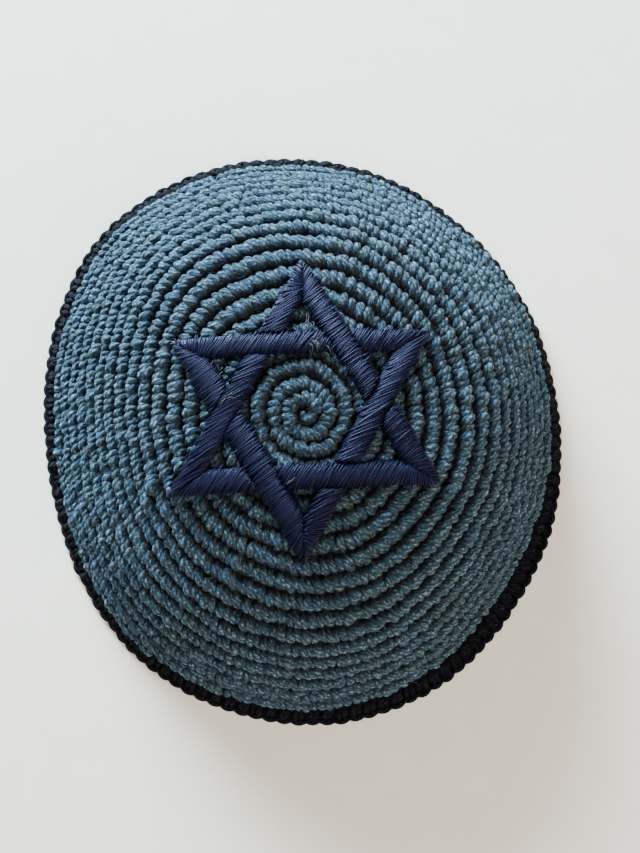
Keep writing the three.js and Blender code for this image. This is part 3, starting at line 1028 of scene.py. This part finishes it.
    def fabric(self, material: bpy.types.Material) -> bpy.types.Object:
        """Build the closed fabric between the two faces.

        Args:
            material: Finish of the yarn.

        Returns:
            The fabric as a plain mesh.
        """
        turns, rows = self.fabric_turns, self.fabric_rows
        done = np.linspace(0.0, self.form.rounds, rows + 1)[1:]
        turn = np.arange(turns) / turns
        wave = 0.5 - 0.5 * np.cos((done[:, None] - turn[None, :]) * FULL_TURN)
        ridges = self.ridge_foot - self.ridge_rise * np.clip(wave * 1.25, 0.0, 1.0) ** 0.8
        near = np.clip((done - self.form.rounds + self.tuck_start) / self.tuck_span, 0.0, 1.0)[:, None]
        ridges = ridges + (self.tuck - ridges) * near
        depths = (ridges, np.full((rows, turns), self.wall - self.back))
        layers = [self.form.at(done[:, None], turn[None, :], -depth) for depth in depths]
        poles = [self.form.at(np.zeros(1), np.zeros(1), -depth[:1, 0]) for depth in depths]
        points = np.concatenate([poles[0], layers[0].reshape(-1, 3), poles[1], layers[1].reshape(-1, 3)])
        # Painted shade: the fabric is darkened in the valleys between rounds, at the pole and where it tucks
        # under the brim, and the inner layer is darkened evenly.
        shade = np.maximum(1.0 - 0.85 * wave**1.5, near)
        sunk = np.concatenate([[1.0], shade.reshape(-1), np.full(1 + rows * turns, 0.6)])
        size = 1 + rows * turns

        def index(layer: int, row: int, column: int) -> int:
            """Number of a point in a layer."""
            return layer * size + 1 + row * turns + column % turns

        faces = []
        last = rows - 1
        for column in range(turns):
            after = column + 1
            faces.append((0, index(0, 0, column), index(0, 0, after)))
            faces.append((size, index(1, 0, after), index(1, 0, column)))
            brim = ((0, column), (1, column), (1, after), (0, after))
            faces.append(tuple(index(layer, last, side) for layer, side in brim))
            for row in range(last):
                corners = [(row, column), (row + 1, column), (row + 1, after), (row, after)]
                faces.append(tuple(index(0, *corner) for corner in corners))
                faces.append(tuple(index(1, *corner) for corner in reversed(corners)))
        return plain_mesh("crown_fabric", points, faces, material, sunk)

    def build(self, material: bpy.types.Material) -> list[bpy.types.Object]:
        """Build the crown's pieces.

        Args:
            material: Finish of the yarn.

        Returns:
            The pieces, all in place of the crown's solid.
        """
        sides = 8
        paths, radii, tones, depths, done = self.stitches(Side.OUTSIDE)
        pieces = [self.fabric(material)]
        for name, low, high in self.parts:
            chosen = (done >= low) & (done < high)
            bundle = StrandBundle()
            bundle.add(paths[chosen], radii[chosen], tones[chosen], depths[chosen])
            pieces.append(bundle.build(name, sides, material))
        paths, radii, tones, depths, _ = self.stitches(Side.INSIDE)
        inside = StrandBundle()
        inside.add(paths, radii, tones, depths)
        pieces.append(inside.build("inner_stitches", 6, material))
        for piece in pieces:
            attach(piece, "root")
            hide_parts("crown")
        return pieces


def plain_mesh(
    name: str, points: Array, faces: list, material: bpy.types.Material, sunk: Array | float = 0.85
) -> bpy.types.Object:
    """Make a smooth mesh object whose points are given in millimetres.

    Args:
        name: Name of the piece.
        points: Points by three.
        faces: Corners of each face.
        material: Finish.
        sunk: How far each point lies in the shade of its grooves.

    Returns:
        The object, with the strand attributes set for a surface in the shade of its stitches.
    """
    mesh = bpy.data.meshes.new(name)
    mesh.from_pydata((points * MM).tolist(), [], faces)
    mesh.update()
    mesh.shade_smooth()
    for label, value in (("tone", 0.5), ("sunk", sunk)):
        mark(mesh, label, np.zeros(len(points)) + value)
    mesh.materials.append(material)
    return put(name, mesh)


# The edge round


@dataclass
class EdgeRound:
    """The dark round that closes the brim, worked into the crown's last round."""

    form: EdgeForm
    crown: CrownForm
    stitch_width: float = 4.3
    leg_radius: float = 0.95
    wall: float = 3.6
    flare: float = 0.95
    flare_turn: float = 0.222
    flare_spread: float = 0.075
    down: tuple[float, ...] = (-0.02, 0.12, 0.32, 0.55, 0.78, 0.96)
    depth: tuple[float, ...] = (1.9, 1.2, 0.95, 0.9, 1.0, 1.5)
    stout: tuple[float, ...] = (0.6, 0.95, 1.05, 1.08, 1.0, 0.7)
    leg_apart: float = 0.12
    leg_splay: float = 0.15
    bar_half: float = 0.58
    bar_points: int = 7
    bar_turn: float = 2.6
    bar_share: float = 0.93
    bar_depth: float = 0.85
    bar_radius: float = 0.85
    inner_share: float = 0.5
    inner_depth: float = 0.6
    inner_radius: float = 0.95
    crown_depths: tuple[float, float] = (1.5, 2.65)
    fabric_depths: tuple[float, float] = (1.1, 2.6)
    fabric_shares: tuple[float, ...] = (0.12, 0.5, 0.9)
    fabric_turns: int = 180
    overlap: float = 0.3
    least_height: float = 0.25
    seed: int = 23

    def at(self, share: Numbers, turn: Numbers, over: Numbers) -> Array:
        """Place points on the edge, which flares outward a little at the cap's far side.

        Args:
            share: Share of the way down.
            turn: Turn in full turns.
            over: Height over the edge's face in millimetres.

        Returns:
            Points in millimetres.
        """
        places = self.form.grid.at(share, turn, over)
        turn = np.broadcast_to(turn, places.shape[:-1])
        away = (turn - self.flare_turn + 0.5) % 1.0 - 0.5
        push = self.flare * np.exp(-((away / self.flare_spread) ** 2))
        places[..., 0] += push * np.cos(turn * FULL_TURN)
        places[..., 1] += push * np.sin(turn * FULL_TURN)
        return places

    def build(self, material: bpy.types.Material) -> list[bpy.types.Object]:
        """Build the edge round's strands and its fabric.

        Args:
            material: Finish of the yarn.

        Returns:
            The pieces, all in place of the edge round's solid.
        """
        random = np.random.default_rng(self.seed)
        count = int(round(self.form.grid.girth[self.form.steps // 2] / self.stitch_width))
        width = 1.0 / count
        middle = (np.arange(count) + 0.5) / count
        bundle = StrandBundle()
        down, depth, stout = (np.array(row)[None, :] for row in (self.down, self.depth, self.stout))
        for leg in (-1.0, 1.0):
            apart = leg * (self.leg_apart + self.leg_splay * np.clip(down, 0, 1))
            turn = middle[:, None] + (apart + random.normal(0, 0.05, (count, 1))) * width
            over = -depth + random.normal(0, 0.16, (count, 1))
            paths = self.at(down + random.normal(0, 0.02, (count, 1)), turn, over)
            radii = self.leg_radius * stout * random.normal(1, 0.08, (count, 1))
            bundle.add(paths, radii, random.random(count), np.zeros(radii.shape))
        across = np.linspace(-self.bar_half, self.bar_half, self.bar_points)[None, :]
        bulge = np.cos(across * self.bar_turn)
        turn = middle[:, None] + across * width
        bars = self.at(self.bar_share, turn, -self.bar_depth + bulge + random.normal(0, 0.14, (count, 1)))
        inner = self.at(self.inner_share, turn, -self.wall + self.inner_depth + 0.4 * (1 - bulge))
        lit = np.zeros(turn.shape)
        bundle.add(bars, self.bar_radius * (0.55 + 0.45 * bulge), random.random(count), lit)
        bundle.add(inner, self.inner_radius * (0.6 + 0.4 * bulge), random.random(count), lit)
        strands = bundle.build("edge_stitches", 8, material)
        pieces = [strands, self.fabric(material)]
        for piece in pieces:
            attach(piece, "root")
            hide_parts("edge_round")
        return pieces

    def fabric(self, material: bpy.types.Material) -> bpy.types.Object:
        """Build the closed fabric ring behind the edge stitches, up into the crown's wall.

        Args:
            material: Finish of the yarn.

        Returns:
            The ring as a plain mesh.
        """
        turns = self.fabric_turns
        turn = np.arange(turns) / turns
        last = self.crown.rounds - self.overlap
        upper = [self.crown.at(last, turn, -depth) for depth in self.crown_depths]
        outer, inner = (
            [self.at(share, turn, -depth) for share in self.fabric_shares] for depth in self.fabric_depths
        )
        rings = [upper[0], *outer, *inner[::-1], upper[1]]
        points = np.stack(rings)
        points[..., 2] = np.maximum(points[..., 2], self.least_height)
        faces = []
        for side in range(len(rings)):
            this, below = side * turns, (side + 1) % len(rings) * turns
            for column in range(turns):
                after = (column + 1) % turns
                faces.append((this + column, below + column, below + after, this + after))
        return plain_mesh("edge_fabric", points.reshape(-1, 3), faces, material)


# The star


@dataclass
class SatinBand:
    """One sewn column of the star, laid over its pad.

    Leans gives the way of the threads in plan, in degrees, by the way of the band. Along, sink
    and shade describe each thread from end to end: share of its length, depth under the pad's
    top and how far it lies in shade. Rest is a share of the thread's radius.
    """

    node: bpy.types.Object
    pole: Array
    pitch: float = 0.31
    radius: float = 0.2
    leans: tuple[tuple[float, float], ...] = ((0.0, 56.0), (60.0, 27.0), (120.0, 38.0), (180.0, 56.0))
    tip_slant: float = 60.0
    tip_length: float = 11.0
    reach: float = 9.0
    probe: float = 0.18
    along: tuple[float, ...] = (0.0, 0.06, 0.18, 0.35, 0.5, 0.65, 0.82, 0.94, 1.0)
    sink: tuple[float, ...] = (1.5, 0.45, 0.05, 0.0, 0.0, 0.0, 0.05, 0.45, 1.5)
    shade: tuple[float, ...] = (0.8, 0.3, 0.0, 0.0, 0.0, 0.0, 0.0, 0.3, 0.8)
    angle_spread: float = 4.5
    place_spread: float = 0.07
    height_spread: float = 0.06
    end_spread: tuple[float, float] = (0.1, 0.55)
    rest: float = 0.4
    flatness: float = 0.5
    least_hits: int = 5
    filling_drop: float = 0.15
    seed: int = 5

    def axes(self, plan: Array) -> tuple[Array, Array, Array]:
        """Find how the pad lies in plan.

        Args:
            plan: Corners of the pad in plan.

        Returns:
            A place on its middle line, the way to the star's point and the way out from the pole.
        """
        best = (1e9, 0.0)
        for angle in np.radians(np.arange(0.0, 180.0, 0.2)):
            across = plan @ np.array([-math.sin(angle), math.cos(angle)])
            best = min(best, (float(across.max() - across.min()), float(angle)))
        way = np.array([math.cos(best[1]), math.sin(best[1])])
        out = np.array([-way[1], way[0]])
        middle = sum(((plan @ part).min() + (plan @ part).max()) / 2 * part for part in (way, out))
        if (middle - self.pole[:2]) @ way < 0:
            way = -way
        if (middle - self.pole[:2]) @ out < 0:
            out = -out
        return middle, way, out

    def threads(self) -> tuple[Array, Array, Array, Array]:
        """Lay the satin threads over the pad from edge to edge, fanned towards the star's point.

        Returns:
            Paths, radii, tones and depths of the threads.
        """
        solid = FrameMeasure(self.node)
        plan = solid.corners[:, :2]
        middle, way, out = self.axes(plan)
        random = np.random.default_rng(self.seed)
        tip = float(((plan - middle) @ way).max())
        sweep = np.arange(-self.reach, self.reach, self.probe)
        paths = []
        axis = math.degrees(math.atan2(way[1], way[0])) % 180.0
        named = np.array(self.leans)
        lean = math.radians(named[np.argmin(np.abs(named[:, 0] - axis)), 1])
        common = np.array([math.cos(lean), math.sin(lean)])
        common = common * (1.0 if common @ out > 0 else -1.0)
        slant = math.degrees(math.atan2(common @ way, common @ out))
        place = -tip - self.reach
        while place < tip + self.reach:
            near = min(max((place - tip + self.tip_length) / self.tip_length, 0.0), 1.0)
            angle = slant + (self.tip_slant - slant) * near
            place += self.pitch / math.cos(math.radians(angle))
            angle += random.normal(0, self.angle_spread)
            line = out * math.cos(math.radians(angle)) + way * math.sin(math.radians(angle))
            start = middle + way * (place + random.normal(0, self.place_spread))
            found = [solid.top(spot) for spot in start + sweep[:, None] * line]
            inside = [index for index, hit in enumerate(found) if hit is not None]
            if len(inside) < self.least_hits:
                continue
            reach = sweep[inside]
            tops = np.array([found[index][2] for index in inside])
            tops = np.interp(reach, reach[2:-2], tops[2:-2]) if len(inside) > self.least_hits + 1 else tops
            tops = tops.max() - self.flatness * (tops.max() - tops)
            first = reach[0] - abs(random.normal(*self.end_spread))
            last = reach[-1] + abs(random.normal(*self.end_spread))
            steps = first + (last - first) * np.array(self.along)
            height = np.interp(steps, reach, tops) + self.radius * self.rest
            height = height + random.normal(0, self.height_spread) - np.array(self.sink)
            paths.append(np.column_stack([start + steps[:, None] * line, height]))
        count = len(paths)
        radii = self.radius * random.normal(1.0, 0.1, (count, 1)) * np.ones((1, len(self.along)))
        depths = np.broadcast_to(np.array(self.shade), radii.shape)
        return np.array(paths), radii, random.random(count), depths

    def build(self, material: bpy.types.Material) -> bpy.types.Object:
        """Build the band from its threads and the filling under them.

        Args:
            material: Finish of the thread.

        Returns:
            The piece with the threads.
        """
        bundle = StrandBundle()
        bundle.add(*self.threads())
        piece = bundle.build(self.node.name + "_threads", 5, material)
        filling = self.node.data.copy()
        filling.transform(Matrix.Translation((0.0, 0.0, -self.filling_drop * MM)))
        # Painted shade: the filling under the threads is darkened.
        mark(filling, "sunk", np.full(len(filling.vertices), 0.9))
        filling.materials.clear()
        filling.materials.append(material)
        core = put(self.node.name + "_filling", filling)
        for made in (piece, core):
            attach(made, "root")
            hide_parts(self.node.name)
        return piece


@dataclass
class Star:
    """The six interlaced bands."""

    nodes: dict[str, bpy.types.Object]
    pole: Array

    def build(self, material: bpy.types.Material) -> list[bpy.types.Object]:
        """Build every band of the star.

        Args:
            material: Finish of the thread.

        Returns:
            The pieces with the threads.
        """
        names = sorted(name for name in self.nodes if name.startswith("star_"))
        bands = [SatinBand(self.nodes[name], self.pole, seed=40 + order) for order, name in enumerate(names)]
        return [band.build(material) for band in bands]


# Loose fibres


@dataclass
class LooseFibres:
    """Fine hairs of the yarn and the few longer wisps that lie over the star.

    Each wisp group has its place east and north of the pole, its way in degrees, its length
    and its number of fibres.
    """

    form: CrownForm
    edge: EdgeRound
    nodes: dict[str, bpy.types.Object]
    hairs: int = 4200
    edge_hairs: int = 700
    wisps: tuple[tuple[float, float, float, float, int], ...] = (
        (-2.7, -19.6, 48.0, 5.0, 2), (3.0, 17.8, 112.0, 3.4, 7), (6.3, 15.6, 122.0, 3.2, 7),
        (0.6, 26.0, 84.0, 3.6, 7), (-24.0, 12.0, 50.0, 3.0, 4), (-21.0, 4.0, 35.0, 3.4, 6),
        (-19.0, -13.0, 50.0, 3.0, 4),
    )
    wisp_radius: float = 0.1
    hair_radius: float = 0.045
    round_girth: float = 27.0
    wisp_height: float = 0.75
    wisp_droop: float = 3.2
    place_spread: float = 0.9
    way_spread: float = 16.0
    curl: float = 0.7
    hair_drift: float = 1.2
    hair_slide: float = 0.2
    seed: int = 71

    def wisp_paths(self) -> tuple[Array, Array, Array, Array]:
        """Lay the wisps on top of whatever solid lies highest under them.

        Returns:
            Paths, radii, tones and depths of the wisps.
        """
        random = np.random.default_rng(self.seed + 2)
        solids = [FrameMeasure(node) for name, node in self.nodes.items() if name != "edge_round"]
        step = np.linspace(-0.5, 0.5, 6)
        paths = []
        for east, north, way, length, count in self.wisps:
            for _ in range(count):
                start = self.form.pole[:2] + np.array([east, north]) + random.normal(0, self.place_spread, 2)
                angle = math.radians(way + random.normal(0, self.way_spread))
                angle = angle + step * random.normal(0, self.curl)
                reach = step * length * random.uniform(0.6, 1.1)
                spots = start + np.column_stack([reach * np.cos(angle), reach * np.sin(angle)])
                found = [[solid.top(spot) for solid in solids] for spot in spots]
                tops = [max(place[2] for place in row if place is not None) for row in found]
                height = (max(tops) + np.array(tops)) / 2 + self.wisp_height - self.wisp_droop * step**2
                paths.append(np.column_stack([spots, height]))
        count = len(paths)
        radii = self.wisp_radius * (1.0 - 1.2 * step**2)[None, :] * random.uniform(0.6, 1.25, (count, 1))
        return np.array(paths), radii, random.random(count), np.zeros((count, len(step)))

    def hair_paths(self, count: int, on_edge: bool) -> tuple[Array, Array, Array, Array]:
        """Scatter short curled hairs over the crown or round the edge.

        Args:
            count: Number of hairs.
            on_edge: True for the hairs of the edge round.

        Returns:
            Paths, radii, tones and depths of the hairs.
        """
        random = np.random.default_rng(self.seed + int(on_edge))
        turn = random.random((count, 1))
        step = np.linspace(0.0, 1.0, 5)[None, :]
        height = random.gamma(1.5, 0.5, (count, 1))
        drift = random.normal(0, self.hair_drift, (count, 1))
        slide = random.normal(0, self.hair_slide, (count, 1))
        over = -0.3 + height * np.sin(step * 2.2)
        if on_edge:
            girth = self.edge.form.grid.girth[-1]
            share = random.random((count, 1)) * 0.9 + slide * step * 0.5
            paths = self.edge.at(np.clip(share, 0, 1), turn + drift * step / girth, over)
        else:
            done = self.form.rounds * np.sqrt(random.random((count, 1)))
            girth = np.maximum(done * self.round_girth, 10.0)
            done = np.clip(done + slide * step, 0.1, self.form.rounds)
            paths = self.form.at(done, turn + drift * step / girth, over)
        radii = self.hair_radius * (1.1 - 0.7 * step) * np.ones((count, 1))
        return paths, radii, random.random(count), np.zeros(radii.shape)

    def build(self, yarn: bpy.types.Material, dark: bpy.types.Material) -> list[bpy.types.Object]:
        """Build the hairs of the crown and of the edge round, and the pale wisps.

        Args:
            yarn: Finish of the crown's yarn.
            dark: Finish of the edge round's yarn.

        Returns:
            The three pieces.
        """
        pieces = []
        for name, strands, material, node, slot in (
            ("yarn_hairs", self.hair_paths(self.hairs, False), yarn, "crown", "yarn"),
            ("edge_hairs", self.hair_paths(self.edge_hairs, True), dark, "edge_round", "edge_yarn"),
            ("loose_wisps", self.wisp_paths(), PALE_FIBRE.build(), "crown", "yarn"),
        ):
            bundle = StrandBundle()
            bundle.add(*strands)
            piece = bundle.build(name, 3, material)
            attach(piece, "root")
            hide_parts(node)
            pieces.append(piece)
        return pieces


# The studio


@dataclass
class Studio:
    """Pale floor, window-like light and the camera."""

    pole: Array
    distance: float = 350.0
    elevation: float = 81.5
    lens: float = 53.6
    shift: tuple[float, float] = (0.0169, -0.0166)
    floor_half: float = 1.6
    aim: tuple[float, float, float] = (0.0, 0.0, 0.03)
    sky: Colour = (0.86, 0.92, 1.0, 1.0)
    sky_strength: float = 0.36

    def light(self, name: str, place: tuple, size: float, power: float, colour: tuple) -> None:
        """Add one soft square light that faces the cap.

        Args:
            name: Name of the light.
            place: Place in metres.
            size: Side in metres.
            power: Power in watts.
            colour: Red, green and blue.
        """
        data = bpy.data.lights.new(name, "AREA")
        data.size, data.energy, data.color = size, power, colour
        lamp = put(name, data)
        lamp.location = place
        way = Vector(self.aim) - Vector(place)
        lamp.rotation_euler = way.to_track_quat("-Z", "Y").to_euler()

    def build(self) -> None:
        """Build the floor, the lights, the surroundings and the camera."""
        side = self.floor_half
        corners = [(-side, -side, 0.0), (side, -side, 0.0), (side, side, 0.0), (-side, side, 0.0)]
        mesh = bpy.data.meshes.new("floor")
        mesh.from_pydata(corners, [], [(0, 1, 2, 3)])
        mesh.materials.append(FloorFinish().build())
        floor = put("floor", mesh)
        self.light("window", (-0.43, 0.98, 0.305), 0.5, 116.0, (0.68, 0.89, 1.0))
        self.light("room", (0.6, -0.6, 0.8), 0.9, 19.0, (1.0, 0.88, 0.7))
        world = bpy.data.worlds.new("soft_room")
        world.use_nodes = True
        backdrop = world.node_tree.nodes["Background"]
        backdrop.inputs["Color"].default_value = self.sky
        backdrop.inputs["Strength"].default_value = self.sky_strength
        bpy.context.scene.world = world
        data = bpy.data.cameras.new("camera")
        data.lens = self.lens
        data.shift_x, data.shift_y = self.shift
        camera = put("camera", data)
        rise = math.radians(self.elevation)
        way = Vector((0.0, -math.cos(rise), math.sin(rise)))
        camera.location = (Vector(self.pole) + way * self.distance) * MM
        camera.rotation_euler = (math.pi / 2 - rise, 0.0, 0.0)
        bpy.context.scene.camera = camera


def main() -> None:
    """Dress the frame and report each piece."""
    logging.basicConfig(level=logging.INFO, format="%(message)s")
    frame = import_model()
    nodes = frame["nodes"]
    yarn, dark, thread = CAP_YARN.build(), EDGE_YARN.build(), STAR_THREAD.build()
    form = CrownForm(nodes["crown"]).measure()
    edge = EdgeRound(EdgeForm(nodes["edge_round"], form.pole).measure(), form)
    pieces = CrochetedCrown(form).build(yarn)
    pieces += edge.build(dark)
    pieces += Star(nodes, form.pole).build(thread)
    pieces += LooseFibres(form, edge, nodes).build(yarn, dark)
    Studio(form.pole).build()
    for piece in pieces:
        piece.data.calc_loop_triangles()
        LOG.info("%s: %d triangles", piece.name, len(piece.data.loop_triangles))


if __name__ == "__main__":
    main()
